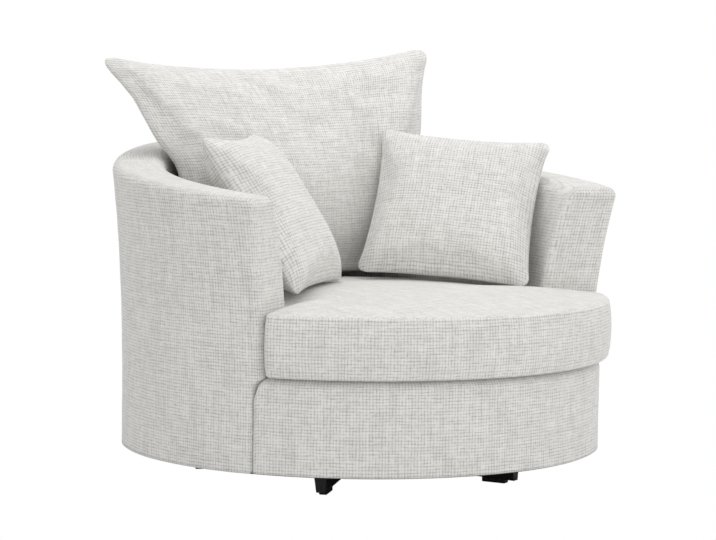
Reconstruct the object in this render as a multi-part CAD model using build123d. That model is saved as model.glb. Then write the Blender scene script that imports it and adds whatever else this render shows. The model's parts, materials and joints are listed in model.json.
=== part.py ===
from build123d import *
from math import asin, cos, degrees, radians, sin, sqrt
import os

# Swivel armchair, millimetres. The origin is on the floor under the swivel axis,
# +Z is up and the sitter faces -Y. Angles round the chair start at the front (-Y)
# and grow towards +X.

# Upholstered tub
BODY_RADIUS = 560.0        # outside of the tub at its foot
BODY_CLEARANCE = 66.0      # floor to the underside of the tub
DECK_HEIGHT = 277.0        # floor to the platform under the seat cushion
ARM_END_ANGLE = 60.5       # straight ahead to the end face of an arm
ARM_TOP_HEIGHT = 674.0     # top of the wall at the arm ends
BACK_TOP_HEIGHT = 768.0    # top of the wall at the back
FLARE_START = 220.0        # height where the wall starts to lean out
ARM_FLARE = 63.0           # lean of the wall's top at the arm ends
BACK_FLARE = 17.0          # lean of the wall's top at the back
WALL_FOOT = 145.0          # wall thickness at the deck
WALL_TOP = 121.0           # wall thickness at the top
WALL_CORNER = 24.0         # rounding along the top of the wall
COVER = 3.0                # fabric
WALL_FOAM = 35.0           # foam under the fabric
SKIRT_FOAM = 24.0          # thinner foam round the drum below the deck
BOARD = 3.0                # fibreboard skins
PANEL_ROLL = 22.0          # rounded top of the front panel
SIDE_GAP = 0.5             # gap between parts that are laid side by side
SKIN_GAP = 0.2             # gap between a board and the foam on it

# Timber frame
RING_THICK = 16.0
RING_LEDGE = 48.0          # plywood rings inside the wall's inner face
STUD_COUNT = 10
STUD_DEPTH = 40.0
STUD_WIDTH = 45.0
RIB_COUNT = 9
RIB_THICK = 20.0
RIB_INSET = 2.5            # rib edge to the boards beside it
TOP_RAIL_THICK = 18.0
RAIL_WIDTH = 45.0
RAIL_HEIGHT = 60.0
RAIL_GAP = 100.0           # between the two cross rails

# Seat deck
SPRING_WIRE = 4.0
SPRING_COUNT = 6
SPRING_SPACING = 100.0
SPRING_BAR = 26.0          # straight part of a bar
SPRING_TURN = 14.0         # radius of a half turn
SPRING_LAP = 16.0          # spring end over the ring
CLIP_LENGTH = 22.0
CLIP_WIDTH = 52.0
FELT = 6.0
DECK_CLOTH = 2.0
DUST_CLOTH = 1.5

# Swivel and star base
LEG_COUNT = 5
LEG_START_ANGLE = -50.4
LEG_REACH = 408.0          # axis to the end of a leg
LEG_TOP_WIDTH = 30.0
LEG_FOOT_WIDTH = 20.0
LEG_ROOT_HEIGHT = 42.0
LEG_TIP_HEIGHT = 35.0
LEG_TIP_CLEARANCE = 9.0    # floor to the underside of a leg at its end
LEG_DROP = 2.0             # top of the hub to the top of a leg
LEG_WALL = 2.5
GLIDE_LENGTH = 58.0
GLIDE_SETBACK = 20.0       # end of the leg to the glide
GLIDE_WIDTH = 18.0
GLIDE_LAP = 6.0            # glide walls up the sides of the leg
GLIDE_ROUND = 3.0
CAP_THICK = 4.0
CAP_PLUG = 18.0
HUB_RADIUS = 45.0
HUB_LENGTH = 50.0
SPINDLE_RADIUS = 16.0
SPINDLE_END_RADIUS = 12.0
RUNNING_FIT = 0.05         # radial clearance of the spindle in its bushes
LIFT_PLAY = 0.3            # play under the retaining washer
BUSH_WALL = 6.0
BUSH_LENGTH = 30.0
HOUSING_WALL = 8.0
HOUSING_HEIGHT = 80.0
PLATE_SIZE = 240.0
PLATE_THICK = 6.0
RACE_THICK = 5.0
RACE_GAP = 4.0             # between the two bearing races
RACE_WIDTH = 18.0
BALL_RADIUS = 4.0
BALL_COUNT = 16
BALL_PLAY = 0.1
CAGE_THICK = 2.0
CAGE_PLAY = 0.3
WASHER_THICK = 4.0
WASHER_RADIUS = 28.0
NUT_HEIGHT = 18.0
NUT_FLATS = 36.0
BOLT_RADIUS = 4.0
BOLT_PLAY = 0.5
BOLT_FLATS = 13.0
BOLT_HEAD = 5.3
TEE_FLANGE_RADIUS = 11.0
TEE_FLANGE_THICK = 2.0
TEE_BARREL_RADIUS = 5.5
TEE_BARREL_LENGTH = 14.0

# Loose cushions
SEAT_EDGE = 140.0          # seat cushion thickness round its edge
SEAT_CROWN = 29.0          # rise of its top from the edge to the middle
SEAT_ROUND = 28.0
EAR_CORNER = 45.0
EAR_ROOT = 6.0
CUSHION_GAP = 2.5          # seat cushion to the wall round it
REST_GAP = 0.4             # cushion to what it lies on
SCATTER_SINK = 2.7         # seat crown below its top under a scatter cushion
BACK_SINK = 6.0            # seat crown below its top under the back cushion
BACK_RISE = 265.0          # back cushion above the wall's rim at its corners
BACK_DIP = 16.0            # drawn-in top edge of the back cushion
SEAM = 12.0                # thickness of a cushion at its seams
SCATTER_SIZE = 414.0       # corner to corner along an edge
SCATTER_THICK = 125.0
SCATTER_DRAW = 12.0        # drawn-in edges of a scatter cushion
COVER_SOFT = 2.5           # fabric of the loose cushions

# Derived sizes
INNER_RADIUS = BODY_RADIUS - WALL_FOOT
DRUM_RADIUS = BODY_RADIUS - COVER - SKIRT_FOAM
FRAME_RADIUS = DRUM_RADIUS - BOARD
RING_INNER = INNER_RADIUS - RING_LEDGE
RING_WIDTH = FRAME_RADIUS - RING_INNER
DECK_TOP = DECK_HEIGHT - DECK_CLOTH - FELT - SPRING_WIRE
DECK_BOTTOM = DECK_TOP - RING_THICK
BOTTOM_RING = BODY_CLEARANCE + DUST_CLOTH + SIDE_GAP
RAIL_BOTTOM = BOTTOM_RING + RING_THICK
CAVITY = COVER + WALL_FOAM
PLATE_BOTTOM = RAIL_BOTTOM - PLATE_THICK
HUB_TOP = PLATE_BOTTOM - 2 * RACE_THICK - RACE_GAP
HUB_BOTTOM = HUB_TOP - HUB_LENGTH
BALL_LEVEL = HUB_TOP + RACE_THICK + RACE_GAP / 2
BUSH_RADIUS = SPINDLE_RADIUS + RUNNING_FIT + BUSH_WALL
HOUSING_TOP = RAIL_BOTTOM + HOUSING_HEIGHT
WASHER_BOTTOM = HOUSING_TOP + LIFT_PLAY
BALL_CIRCLE = HUB_RADIUS - RACE_WIDTH / 2 - 2
SEAT_FRONT_RADIUS = BODY_RADIUS + BACK_FLARE
SEAT_BOTTOM = DECK_HEIGHT + REST_GAP
SEAT_TOP = SEAT_BOTTOM + SEAT_EDGE + SEAT_CROWN


def around(angle, radius, height):
    """Point at an angle from the front, a radius and a height."""
    return Vector(radius * sin(radians(angle)), -radius * cos(radians(angle)), height)


def ring(outer, inner, bottom, top):
    """Flat ring or tube about the swivel axis."""
    body = Cylinder(outer, top - bottom, align=(Align.CENTER, Align.CENTER, Align.MIN))
    hole = Cylinder(inner, top - bottom, align=(Align.CENTER, Align.CENTER, Align.MIN))
    return Pos(0, 0, bottom) * (body - hole)


def disc(radius, bottom, top):
    """Solid disc about the swivel axis."""
    return Pos(0, 0, bottom) * Cylinder(radius, top - bottom, align=(Align.CENTER, Align.CENTER, Align.MIN))


def save(shape, name):
    export_step(shape, "parts/" + name + ".step")


# Wall of the tub: radial sections lofted round the back from arm end to arm end

def wall_height(angle):
    """Top of the wall, low at the arm ends and high at the back."""
    start = -cos(radians(ARM_END_ANGLE))
    part = (-cos(radians(angle)) - start) / (1 - start)
    return ARM_TOP_HEIGHT + (BACK_TOP_HEIGHT - ARM_TOP_HEIGHT) * part * part


def wall_flare(angle):
    """Lean of the wall's top, strongest at the arm ends."""
    part = abs(180 - angle) / (180 - ARM_END_ANGLE)
    return BACK_FLARE + (ARM_FLARE - BACK_FLARE) * part ** 2.2


def lean(flare, angle, height):
    """Lean at a height: an arc that starts upright and reaches the flare at the top."""
    rise = wall_height(angle) - FLARE_START
    bend = (rise * rise + flare * flare) / (2 * flare)
    up = height - FLARE_START
    return bend - sqrt(bend * bend - up * up)


def outer_face(angle, height):
    return BODY_RADIUS + lean(wall_flare(angle), angle, height)


def inner_face(angle, height):
    return INNER_RADIUS + lean(wall_flare(angle) + WALL_FOOT - WALL_TOP, angle, height)


def wall_section(angle, inset, bottom):
    """Closed outline of the wall at an angle, moved in by an inset on three sides."""
    corner = max(WALL_CORNER - inset, 4.0)
    top = wall_height(angle) - inset
    low = top - corner
    middle = (FLARE_START + low) / 2
    turn = corner * sqrt(0.5)
    outer = outer_face(angle, low) - inset
    inner = inner_face(angle, low) + inset

    def at(radius, height):
        return around(angle, radius, height)

    edges = [
        Edge.make_line(at(INNER_RADIUS + inset, bottom), at(BODY_RADIUS - inset, bottom)),
        Edge.make_line(at(BODY_RADIUS - inset, bottom), at(BODY_RADIUS - inset, FLARE_START)),
        Edge.make_three_point_arc(
            at(BODY_RADIUS - inset, FLARE_START),
            at(outer_face(angle, middle) - inset, middle),
            at(outer, low),
        ),
        Edge.make_three_point_arc(
            at(outer, low),
            at(outer - corner + turn, low + turn),
            at(outer - corner, top),
        ),
        Edge.make_line(at(outer - corner, top), at(inner + corner, top)),
        Edge.make_three_point_arc(
            at(inner + corner, top),
            at(inner + corner - turn, low + turn),
            at(inner, low),
        ),
        Edge.make_three_point_arc(
            at(inner, low),
            at(inner_face(angle, middle) + inset, middle),
            at(INNER_RADIUS + inset, FLARE_START),
        ),
        Edge.make_line(at(INNER_RADIUS + inset, FLARE_START), at(INNER_RADIUS + inset, bottom)),
    ]
    return Wire(edges)


def wall_angles(inset, count=13):
    """Section angles from one arm end to the other, shortened by an inset at each end."""
    start = ARM_END_ANGLE + degrees(asin(inset / INNER_RADIUS))
    return [start + (360 - 2 * start) * i / (count - 1) for i in range(count)]


def wall(inset, bottom):
    return Solid.make_loft([wall_section(angle, inset, bottom) for angle in wall_angles(inset)])


def strip_section(angle, corners):
    """Closed outline of straight edges at an angle, from radius and height pairs."""
    points = [around(angle, radius, height) for radius, height in corners]
    return Wire([Edge.make_line(points[i - 1], points[i]) for i in range(len(points))])


def skin_section(angle, face, near, far, top_inset):
    """Outline of a board that follows one face of the wall from the deck to the top rail."""
    top = wall_height(angle) - top_inset
    middle = (DECK_TOP + top) / 2

    def side(offset, first, last):
        ends = [around(angle, face(angle, h) + offset, h) for h in (first, middle, last)]
        return Edge.make_three_point_arc(*ends)

    near_edge = side(near, DECK_TOP, top)
    far_edge = side(far, top, DECK_TOP)
    top_edge = Edge.make_line(near_edge @ 1, far_edge @ 0)
    foot_edge = Edge.make_line(far_edge @ 1, near_edge @ 0)
    return Wire([near_edge, top_edge, far_edge, foot_edge])


def skin(face, near, far, top_inset):
    angles = wall_angles(CAVITY + SIDE_GAP)
    return Solid.make_loft([skin_section(angle, face, near, far, top_inset) for angle in angles])


below_deck = disc(DRUM_RADIUS + SKIN_GAP, 0, DECK_TOP)
foam_form = wall(COVER, BODY_CLEARANCE - 10)
foam_floor = BODY_CLEARANCE + DUST_CLOTH + SIDE_GAP
dust_radius = BODY_RADIUS - COVER - SIDE_GAP
shell_cover = wall(0, BODY_CLEARANCE) - foam_form - below_deck
shell_cover = shell_cover - disc(dust_radius + SKIN_GAP, 0, foam_floor)
save(shell_cover, "shell_cover")

shell_foam = foam_form - wall(CAVITY, BODY_CLEARANCE - 20) - below_deck - disc(2 * BODY_RADIUS, 0, foam_floor)
save(shell_foam, "shell_foam")

rail_top_inset = CAVITY + SKIN_GAP
rail_low_inset = rail_top_inset + TOP_RAIL_THICK
skin_depth = CAVITY + SKIN_GAP + BOARD


def top_rail_section(angle):
    """Plywood rail along the top of the wall, held between the two boards."""
    high = wall_height(angle) - rail_top_inset
    low = wall_height(angle) - rail_low_inset
    outer_low = outer_face(angle, low) - skin_depth - SIDE_GAP
    inner_low = inner_face(angle, high) + skin_depth + SIDE_GAP
    return strip_section(angle, [(inner_low, low), (outer_low, low), (outer_low, high), (inner_low, high)])


top_rail = Solid.make_loft([top_rail_section(angle) for angle in wall_angles(CAVITY + SIDE_GAP)])
save(top_rail, "top_rail")

save(skin(outer_face, -skin_depth, -CAVITY - SKIN_GAP, rail_top_inset + 6), "outer_wall_board")
save(skin(inner_face, CAVITY + SKIN_GAP, skin_depth, rail_top_inset + 6), "inner_wall_board")


def rib(angle):
    """Shaped plywood rib from the deck ring up to the top rail."""
    top = wall_height(angle) - rail_low_inset + TOP_RAIL_THICK / 2
    middle = (DECK_TOP + top) / 2
    inset = skin_depth + RIB_INSET
    outer = [around(angle, outer_face(angle, h) - inset, h) for h in (DECK_TOP, middle, top)]
    inner = [around(angle, inner_face(angle, h) + inset, h) for h in (top, middle, DECK_TOP)]
    outline = Wire([
        Edge.make_line(inner[2], outer[0]),
        Edge.make_three_point_arc(*outer),
        Edge.make_line(outer[2], inner[0]),
        Edge.make_three_point_arc(*inner),
    ])
    side = Vector(cos(radians(angle)), sin(radians(angle)), 0)
    plate = Solid.extrude(Face(outline), side * RIB_THICK)
    plate = Pos(side * (-RIB_THICK / 2)) * plate
    return (plate - top_rail).solids().sort_by(Axis.Z)[0]


rib_angles = wall_angles(CAVITY + RIB_THICK, RIB_COUNT)
save(Compound(children=[rib(angle) for angle in rib_angles]), "wall_ribs")

# Drum under the deck

save(ring(FRAME_RADIUS, RING_INNER, BOTTOM_RING, RAIL_BOTTOM), "bottom_ring")
save(ring(FRAME_RADIUS, RING_INNER, DECK_BOTTOM, DECK_TOP), "deck_ring")
save(ring(DRUM_RADIUS, FRAME_RADIUS, BOTTOM_RING, DECK_TOP), "drum_board")

stud_height = DECK_BOTTOM - RAIL_BOTTOM
stud_radius = FRAME_RADIUS - RING_WIDTH / 2
studs = []
for i in range(STUD_COUNT):
    stud = Box(STUD_WIDTH, STUD_DEPTH, stud_height, align=(Align.CENTER, Align.CENTER, Align.MIN))
    stud_angle = 360 / STUD_COUNT * (i + 0.5)
    studs.append(Rot(0, 0, stud_angle) * Pos(0, -stud_radius, RAIL_BOTTOM) * stud)
save(Compound(children=studs), "drum_studs")


def panel_profile(inset):
    """Half section of the front panel with a rolled top edge."""
    roll = PANEL_ROLL - inset
    right = BODY_RADIUS - inset
    top = DECK_HEIGHT - inset
    turn = roll * sqrt(0.5)
    left = DRUM_RADIUS + SKIN_GAP
    return [
        Edge.make_line((left, 0, foam_floor), (right, 0, foam_floor)),
        Edge.make_line((right, 0, foam_floor), (right, 0, top - roll)),
        Edge.make_three_point_arc(
            (right, 0, top - roll),
            (right - roll + turn, 0, top - roll + turn),
            (right - roll, 0, top),
        ),
        Edge.make_line((right - roll, 0, top), (left, 0, top)),
        Edge.make_line((left, 0, top), (left, 0, foam_floor)),
    ]


panel_angle = ARM_END_ANGLE - degrees(SIDE_GAP / BODY_RADIUS)


def panel(inset):
    """Front panel between the arm ends, turned about the swivel axis."""
    swept = Solid.revolve(Face(Wire(panel_profile(inset))), 2 * panel_angle, Axis.Z)
    return Rot(0, 0, -90 - panel_angle) * swept


front_foam = panel(COVER)
front_cover = panel(0) - front_foam
save(front_foam, "front_panel_foam")
save(front_cover, "front_panel_cover")

dust_cloth = disc(dust_radius, BODY_CLEARANCE, BODY_CLEARANCE + DUST_CLOTH)
save(dust_cloth - disc(HUB_RADIUS + 15, 0, DECK_HEIGHT), "dust_cloth")

# Seat deck: sinuous springs, clips, felt and platform cloth

spring_level = DECK_TOP + SPRING_WIRE / 2


def spring_path(across):
    """Bars joined by half turns, from the front of the deck ring to the back."""
    reach = sqrt(RING_INNER ** 2 - across ** 2) + SPRING_LAP
    turns = int(2 * reach / (2 * SPRING_TURN))
    first = -turns * SPRING_TURN
    half = SPRING_BAR / 2
    edges = []
    for i in range(turns + 1):
        level = first + 2 * SPRING_TURN * i
        side = 1 if i % 2 == 0 else -1
        start = Vector(across - side * half, level, spring_level)
        end = Vector(across + side * half, level, spring_level)
        edges.append(Edge.make_line(start, end))
        if i < turns:
            crest = end + Vector(side * SPRING_TURN, SPRING_TURN, 0)
            edges.append(Edge.make_three_point_arc(end, crest, end + Vector(0, 2 * SPRING_TURN, 0)))
    return Wire(edges), abs(first)


springs = []
clips = []
for i in range(SPRING_COUNT):
    across = (i - (SPRING_COUNT - 1) / 2) * SPRING_SPACING
    path, spring_end = spring_path(across)
    tip = path @ 0
    wire_face = Plane(tip, z_dir=path % 0) * Circle(SPRING_WIRE / 2)
    spring = sweep(wire_face, path)
    springs.append(spring)
    for side in (-1, 1):
        clip = Box(CLIP_WIDTH, CLIP_LENGTH, SPRING_WIRE)
        clip = Pos(across, side * (spring_end + CLIP_LENGTH / 4), spring_level) * clip - spring
        clips.append(clip.solids().sort_by(SortBy.VOLUME)[-1])
save(Compound(children=springs), "seat_springs")
save(Compound(children=clips), "spring_clips")


def deck_sheet(bottom, top):
    """Round sheet inside the wall with a wider sector between the arms."""
    round_part = disc(INNER_RADIUS - SIDE_GAP, bottom, top)
    sector = Solid.revolve(
        Face(Wire.make_polygon([
            Vector(0, 0, bottom),
            Vector(DRUM_RADIUS - SKIN_GAP, 0, bottom),
            Vector(DRUM_RADIUS - SKIN_GAP, 0, top),
            Vector(0, 0, top),
        ])),
        2 * panel_angle,
        Axis.Z,
    )
    return round_part + Rot(0, 0, -90 - panel_angle) * sector


save(deck_sheet(DECK_TOP + SPRING_WIRE, DECK_HEIGHT - DECK_CLOTH), "deck_felt")
save(deck_sheet(DECK_HEIGHT - DECK_CLOTH, DECK_HEIGHT), "deck_cloth")

# Cross rails, swivel plate and bearing

rail_length = 2 * (RING_INNER + RING_WIDTH * 0.55)
rail_place = RAIL_GAP / 2 + RAIL_WIDTH / 2
bolt_spread = PLATE_SIZE / 2 - 35
bolt_places = [(x, y) for x in (-rail_place, rail_place) for y in (-bolt_spread, bolt_spread)]
bolt_hole = BOLT_RADIUS + BOLT_PLAY
rail_top = RAIL_BOTTOM + RAIL_HEIGHT


def drill(shape, radius, bottom, top):
    """Holes on the swivel plate's bolt pattern."""
    for x, y in bolt_places:
        shape = shape - Pos(x, y, 0) * disc(radius, bottom, top)
    return shape


for name, side in (("left_cross_rail", -1), ("right_cross_rail", 1)):
    rail = Box(RAIL_WIDTH, rail_length, RAIL_HEIGHT, align=(Align.CENTER, Align.CENTER, Align.MIN))
    rail = Pos(side * rail_place, 0, RAIL_BOTTOM) * rail
    rail = drill(rail, bolt_hole, 0, DECK_HEIGHT)
    rail = drill(rail, TEE_BARREL_RADIUS, rail_top - TEE_BARREL_LENGTH, rail_top)
    save(rail, name)

plate = Box(PLATE_SIZE, PLATE_SIZE, PLATE_THICK, align=(Align.CENTER, Align.CENTER, Align.MIN))
plate = Pos(0, 0, PLATE_BOTTOM) * plate - disc(BUSH_RADIUS, 0, DECK_HEIGHT)
save(drill(plate, bolt_hole, 0, DECK_HEIGHT), "swivel_plate")

housing_radius = BUSH_RADIUS + HOUSING_WALL
save(ring(housing_radius, BUSH_RADIUS, RAIL_BOTTOM, HOUSING_TOP), "swivel_housing")
bush_bore = SPINDLE_RADIUS + RUNNING_FIT
save(ring(BUSH_RADIUS, bush_bore, PLATE_BOTTOM, PLATE_BOTTOM + BUSH_LENGTH), "lower_bush")
save(ring(BUSH_RADIUS, bush_bore, HOUSING_TOP - BUSH_LENGTH, HOUSING_TOP), "upper_bush")


def hexagon(flats, height):
    return extrude(RegularPolygon(flats / sqrt(3), 6), height)


bolts = []
tee_nuts = []
for x, y in bolt_places:
    bolt = Pos(0, 0, PLATE_BOTTOM - BOLT_HEAD) * hexagon(BOLT_FLATS, BOLT_HEAD)
    bolt = bolt + disc(BOLT_RADIUS, PLATE_BOTTOM - 1, rail_top)
    bolts.append(Pos(x, y, 0) * bolt)
    tee = disc(TEE_FLANGE_RADIUS, rail_top, rail_top + TEE_FLANGE_THICK)
    tee = tee + disc(TEE_BARREL_RADIUS, rail_top - TEE_BARREL_LENGTH, rail_top + 1)
    tee_nuts.append(Pos(x, y, 0) * (tee - disc(BOLT_RADIUS, 0, DECK_HEIGHT)))
save(Compound(children=bolts), "plate_bolts")
save(Compound(children=tee_nuts), "tee_nuts")

groove = Pos(0, 0, BALL_LEVEL) * Torus(BALL_CIRCLE, BALL_RADIUS + BALL_PLAY)
race_outer = BALL_CIRCLE + RACE_WIDTH / 2
race_inner = BALL_CIRCLE - RACE_WIDTH / 2
lower_race = ring(race_outer, race_inner, HUB_TOP, HUB_TOP + RACE_THICK)
upper_race = ring(race_outer, race_inner, PLATE_BOTTOM - RACE_THICK, PLATE_BOTTOM)
save(lower_race - groove, "lower_bearing_race")
save(upper_race - groove, "upper_bearing_race")

balls = []
cage = ring(BALL_CIRCLE + 6, BALL_CIRCLE - 6, BALL_LEVEL - CAGE_THICK / 2, BALL_LEVEL + CAGE_THICK / 2)
for i in range(BALL_COUNT):
    place = Pos(around(360 / BALL_COUNT * i, BALL_CIRCLE, BALL_LEVEL))
    balls.append(place * Sphere(BALL_RADIUS))
    cage = cage - place * Sphere(BALL_RADIUS + CAGE_PLAY)
save(Compound(children=balls), "bearing_balls")
save(cage, "ball_cage")

# Star base

hub_space = disc(HUB_RADIUS, HUB_BOTTOM - 50, HUB_TOP + 50)
save(ring(HUB_RADIUS, SPINDLE_RADIUS, HUB_BOTTOM, HUB_TOP), "base_hub")

spindle = disc(SPINDLE_RADIUS, HUB_BOTTOM, WASHER_BOTTOM)
spindle = spindle + disc(SPINDLE_END_RADIUS, HUB_BOTTOM, WASHER_BOTTOM + WASHER_THICK + NUT_HEIGHT + 3)
save(spindle, "spindle")
washer_top = WASHER_BOTTOM + WASHER_THICK
save(ring(WASHER_RADIUS, SPINDLE_END_RADIUS, WASHER_BOTTOM, washer_top), "retaining_washer")
nut = Pos(0, 0, washer_top) * hexagon(NUT_FLATS, NUT_HEIGHT) - disc(SPINDLE_END_RADIUS, 0, 2 * DECK_HEIGHT)
save(nut, "spindle_nut")


def leg_outline(along, inset):
    """Tapered leg section that faces +Y, at a distance along the leg."""
    share = along / LEG_REACH
    height = LEG_ROOT_HEIGHT + (LEG_TIP_HEIGHT - LEG_ROOT_HEIGHT) * share
    tip_top = LEG_TIP_CLEARANCE + LEG_TIP_HEIGHT
    top = HUB_TOP - LEG_DROP + (tip_top - HUB_TOP + LEG_DROP) * share
    wide = LEG_TOP_WIDTH / 2 - inset
    slim = LEG_FOOT_WIDTH / 2 - inset
    return Wire.make_polygon([
        Vector(-slim, -along, top - height + inset),
        Vector(slim, -along, top - height + inset),
        Vector(wide, -along, top - inset),
        Vector(-wide, -along, top - inset),
    ])


def leg_solid(start, end, inset):
    return Solid.make_loft([leg_outline(start, inset), leg_outline(end, inset)], ruled=True)


leg_body = leg_solid(1, LEG_REACH, 0)
leg = leg_body - leg_solid(0, LEG_REACH + 1, LEG_WALL) - hub_space
cap_plug = leg_solid(LEG_REACH - CAP_PLUG, LEG_REACH + CAP_THICK / 2, LEG_WALL)
end_cap = leg_solid(LEG_REACH, LEG_REACH + CAP_THICK, 0) + cap_plug

glide_middle = LEG_REACH - GLIDE_SETBACK - GLIDE_LENGTH / 2
glide_top = LEG_TIP_CLEARANCE + GLIDE_LAP
glide = extrude(Rectangle(GLIDE_WIDTH, GLIDE_LENGTH), glide_top)
glide = fillet(glide.faces().sort_by(Axis.Z)[0].edges(), GLIDE_ROUND)
glide = Pos(0, -glide_middle, 0) * glide - leg_body
glide = glide.solids().sort_by(Axis.Z)[0]

glides = []
end_caps = []
for i in range(LEG_COUNT):
    turn = Rot(0, 0, LEG_START_ANGLE + 360 / LEG_COUNT * i)
    save(turn * leg, "base_leg_" + str(i + 1))
    glides.append(turn * glide)
    end_caps.append(turn * end_cap)
save(Compound(children=glides), "floor_glides")
save(Compound(children=end_caps), "leg_end_caps")

# Seat cushion: round front with ears before the arm ends, crowned top

def seat_form(inset):
    ear_angle = ARM_END_ANGLE - degrees(CUSHION_GAP / INNER_RADIUS) - degrees(inset / INNER_RADIUS)
    front = SEAT_FRONT_RADIUS - inset
    back = INNER_RADIUS - CUSHION_GAP - inset
    left = around(-ear_angle, 1, 0)
    right = around(ear_angle, 1, 0)
    outline = Wire([
        Edge.make_three_point_arc(left * back, Vector(0, back, 0), right * back),
        Edge.make_line(right * back, right * front),
        Edge.make_three_point_arc(right * front, Vector(0, -front, 0), left * front),
        Edge.make_line(left * front, left * back),
    ])
    form = Solid.extrude(Face(outline), Vector(0, 0, SEAT_TOP))
    upright = form.edges().filter_by(Axis.Z)
    ears = upright.sort_by(lambda edge: (edge @ 0.5).Y)
    form = fillet(ears[0:2], EAR_CORNER - inset)
    upright = form.edges().filter_by(Axis.Z)
    roots = [edge for edge in upright if abs(Vector((edge @ 0.5).X, (edge @ 0.5).Y).length - back) < 1]
    form = fillet(roots, EAR_ROOT + inset)
    dome = (SEAT_FRONT_RADIUS ** 2 + SEAT_CROWN ** 2) / (2 * SEAT_CROWN)
    form = form & Pos(0, 0, SEAT_TOP - inset - dome) * Sphere(dome)
    form = form - disc(2 * BODY_RADIUS, -10, SEAT_BOTTOM + inset)
    rims = form.faces().sort_by(Axis.Z)
    rim_edges = rims[0].edges() + rims[-1].edges()
    return fillet(rim_edges, SEAT_ROUND - inset)


seat_core = seat_form(COVER_SOFT)
save(seat_core, "seat_cushion_core")
save(seat_form(0) - seat_core, "seat_cushion_cover")

# Back cushion: level sections lofted upwards, pinched at both ends, wide above the rim

rim_level = wall_height(122)

# share of the way up, half width, ends, back and front as shares of the inner radius
lower_shape = [
    (0.00, 0.815, 0.550, 0.780, 0.660),
    (0.28, 0.865, 0.535, 0.905, 0.520),
    (0.62, 0.895, 0.542, 0.975, 0.455),
    (0.95, 0.912, 0.566, 1.015, 0.495),
]
upper_shape = [
    (0.28, 1.024, 0.640, 1.050, 0.590),
    (0.61, 1.096, 0.747, 1.032, 0.723),
    (0.90, 1.170, 0.832, 0.995, 0.880),
    (1.00, 1.195, 0.872, 0.972, 0.944),
]


def back_section(level, shape, inset):
    """Level outline of the back cushion between its two side seams."""
    half = shape[1] * INNER_RADIUS - inset
    ends = shape[2] * INNER_RADIUS
    rear = shape[3] * INNER_RADIUS - inset
    front = shape[4] * INNER_RADIUS + inset
    seam = SEAM / 2 - inset
    return Wire([
        Edge.make_three_point_arc((-half, ends - seam, level), (0, front, level), (half, ends - seam, level)),
        Edge.make_line((half, ends - seam, level), (half, ends + seam, level)),
        Edge.make_three_point_arc((half, ends + seam, level), (0, rear, level), (-half, ends + seam, level)),
        Edge.make_line((-half, ends + seam, level), (-half, ends - seam, level)),
    ])


def back_form(inset):
    foot = SEAT_TOP - BACK_SINK + inset
    sections = []
    for shape in lower_shape:
        sections.append(back_section(foot + shape[0] * (rim_level - foot), shape, inset))
    for shape in upper_shape:
        sections.append(back_section(rim_level + shape[0] * (BACK_RISE - inset), shape, inset))
    body = Solid.make_loft(sections)
    half = upper_shape[-1][1] * INNER_RADIUS
    dip = BACK_DIP + inset
    sweep_radius = (half * half + dip * dip) / (2 * dip)
    cutter = Cylinder(sweep_radius, 4 * BODY_RADIUS, rotation=(90, 0, 0))
    return body - Pos(0, 0, rim_level + BACK_RISE - dip + sweep_radius) * cutter


back_core = back_form(COVER_SOFT)
save(back_core, "back_cushion_core")
save(back_form(0) - back_core, "back_cushion_cover")

# Scatter cushions: lens sections lofted across, pinched on all four edges

def pillow_section(share, inset):
    """Lens outline across the pillow at a share of its half width."""
    full = 1 - share * share
    half = SCATTER_SIZE / 2 - SCATTER_DRAW * full - inset
    swell = SEAM * 0.8 + (SCATTER_THICK / 2 - SEAM * 0.8) * full - inset
    seam = SEAM / 2 - inset
    place = share * (SCATTER_SIZE / 2 - inset)
    return Wire([
        Edge.make_three_point_arc((place, -half, seam), (place, 0, swell), (place, half, seam)),
        Edge.make_line((place, half, seam), (place, half, -seam)),
        Edge.make_three_point_arc((place, half, -seam), (place, 0, -swell), (place, -half, -seam)),
        Edge.make_line((place, -half, -seam), (place, -half, seam)),
    ])


def pillow(inset):
    body = Solid.make_loft([pillow_section(k / 4, inset) for k in range(-4, 5)])
    half = SCATTER_SIZE / 2
    draw = SCATTER_DRAW
    side_radius = (half * half + draw * draw) / (2 * draw)
    cutter = Cylinder(side_radius, 4 * SCATTER_THICK)
    reach = half - draw - inset + side_radius
    return body - Pos(reach, 0, 0) * cutter - Pos(-reach, 0, 0) * cutter


def scatter_place(turn, tilt, across, forward):
    """Plane of a scatter cushion: turned about Z, tilted back, its low edge on the seat."""
    normal = around(turn, cos(radians(tilt)), sin(radians(tilt)))
    level = Vector(cos(radians(turn)), sin(radians(turn)), 0)
    height = SEAT_TOP + SCATTER_SIZE / 2 * cos(radians(tilt)) + SEAM / 2 - SCATTER_SINK
    return Plane(Vector(across, forward, height), x_dir=level, z_dir=normal)


left_place = scatter_place(38, 33, -0.595 * INNER_RADIUS, 0.040 * INNER_RADIUS)
right_place = scatter_place(-46, 34, 0.690 * INNER_RADIUS, 0.010 * INNER_RADIUS)
scatter_core = pillow(COVER_SOFT)
scatter_cover = pillow(0) - scatter_core
for name, place in (("left", left_place), ("right", right_place)):
    save(place.location * scatter_core, name + "_scatter_core")
    save(place.location * scatter_cover, name + "_scatter_cover")
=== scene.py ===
import json
import math

import bmesh
import bpy
from bpy.props import FloatProperty, FloatVectorProperty, PointerProperty
from mathutils import Matrix, Vector, noise


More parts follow.
